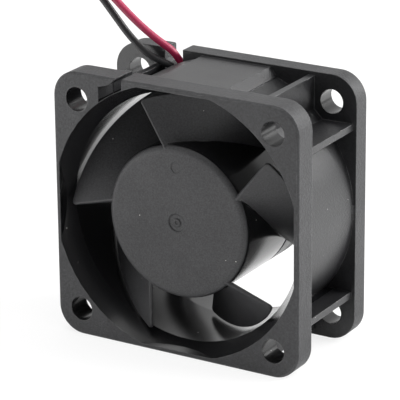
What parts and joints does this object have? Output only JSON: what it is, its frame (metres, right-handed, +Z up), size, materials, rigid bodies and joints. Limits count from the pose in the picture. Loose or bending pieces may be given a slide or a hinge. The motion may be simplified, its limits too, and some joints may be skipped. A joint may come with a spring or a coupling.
{
  "type": "axial cooling fan",
  "caption": "Square framed axial fan for cooling electronics, with a bladed rotor on ball bearings, a brushless motor in the hub and two loose leads.",
  "frame": {"origin": "middle of the bottom edge of the square frame, on the surface that the fan stands on", "axes": "+Z up, the fan's axis along Y at half the frame's height, air in at the front (-Y) face and out at the back (+Y)"},
  "size_m": [0.0729, 0.0279, 0.0543],
  "materials": {
    "housing_plastic": "fine texture",
    "impeller_plastic": "fine texture",
    "yoke_steel": "zinc plated",
    "magnet_ferrite": "bonded ferrite",
    "shaft_steel": "ground",
    "sleeve_brass": "turned",
    "bearing_steel": "polished",
    "ball_steel": "polished",
    "cage_steel": "pressed sheet",
    "spring_steel": "drawn wire",
    "washer_plastic": "smooth",
    "clip_steel": "phosphated",
    "core_steel": "stacked sheet",
    "insulator_nylon": "satin",
    "winding_copper": "enamelled copper wire",
    "pin_metal": "tinned",
    "board_laminate": "solder mask",
    "part_black": "moulded epoxy",
    "capacitor_ceramic": "fired ceramic",
    "solder_tin": "solder",
    "red_insulation": "satin",
    "black_insulation": "satin",
    "tinned_wire": "tinned strands",
    "blank_foil": "satin foil"
  },
  "bodies": {
    "frame": {"housing": "housing_plastic", "foil_disc": "blank_foil", "bearing_sleeve": "sleeve_brass", "front_bearing_outer_ring": "bearing_steel", "front_bearing_shields": "cage_steel", "rear_bearing_outer_ring": "bearing_steel", "rear_bearing_shields": "cage_steel", "stator_core": "core_steel", "front_insulator": "insulator_nylon", "rear_insulator": "insulator_nylon", "windings": "winding_copper", "terminal_pins": "pin_metal", "circuit_board": "board_laminate", "position_sensor": "part_black", "driver_chip": "part_black", "capacitor": "capacitor_ceramic", "resistors": "part_black", "solder_joints": "solder_tin", "red_held_lead": "red_insulation", "red_lead": "red_insulation", "red_lead_coil": "red_insulation", "red_lead_tip": "tinned_wire", "black_held_lead": "black_insulation", "black_lead": "black_insulation", "black_lead_coil": "black_insulation", "black_lead_tip": "tinned_wire"},
    "rotor": {"impeller": "impeller_plastic", "rotor_yoke": "yoke_steel", "rotor_magnet": "magnet_ferrite", "shaft": "shaft_steel", "preload_spring": "spring_steel", "front_bearing_inner_ring": "bearing_steel", "rear_bearing_inner_ring": "bearing_steel", "washer": "washer_plastic", "retaining_clip": "clip_steel"},
    "front_cage": {"front_bearing_balls": "ball_steel", "front_bearing_cage": "cage_steel"},
    "rear_cage": {"rear_bearing_balls": "ball_steel", "rear_bearing_cage": "cage_steel"}
  },
  "joints": [
    {"name": "rotor_spin", "type": "hinge", "parent": "frame", "child": "rotor", "pos_m": [0, 0, 0.02], "axis": [0, -1, 0], "continuous": true},
    {"name": "front_cage_spin", "type": "hinge", "parent": "frame", "child": "front_cage", "pos_m": [0, 0, 0.02], "axis": [0, -1, 0], "continuous": true},
    {"name": "rear_cage_spin", "type": "hinge", "parent": "frame", "child": "rear_cage", "pos_m": [0, 0, 0.02], "axis": [0, -1, 0], "continuous": true}
  ],
  "couplings": [
    {"joint": "front_cage_spin", "follows": "rotor_spin", "ratio": 0.3889},
    {"joint": "rear_cage_spin", "follows": "rotor_spin", "ratio": 0.3889}
  ]
}
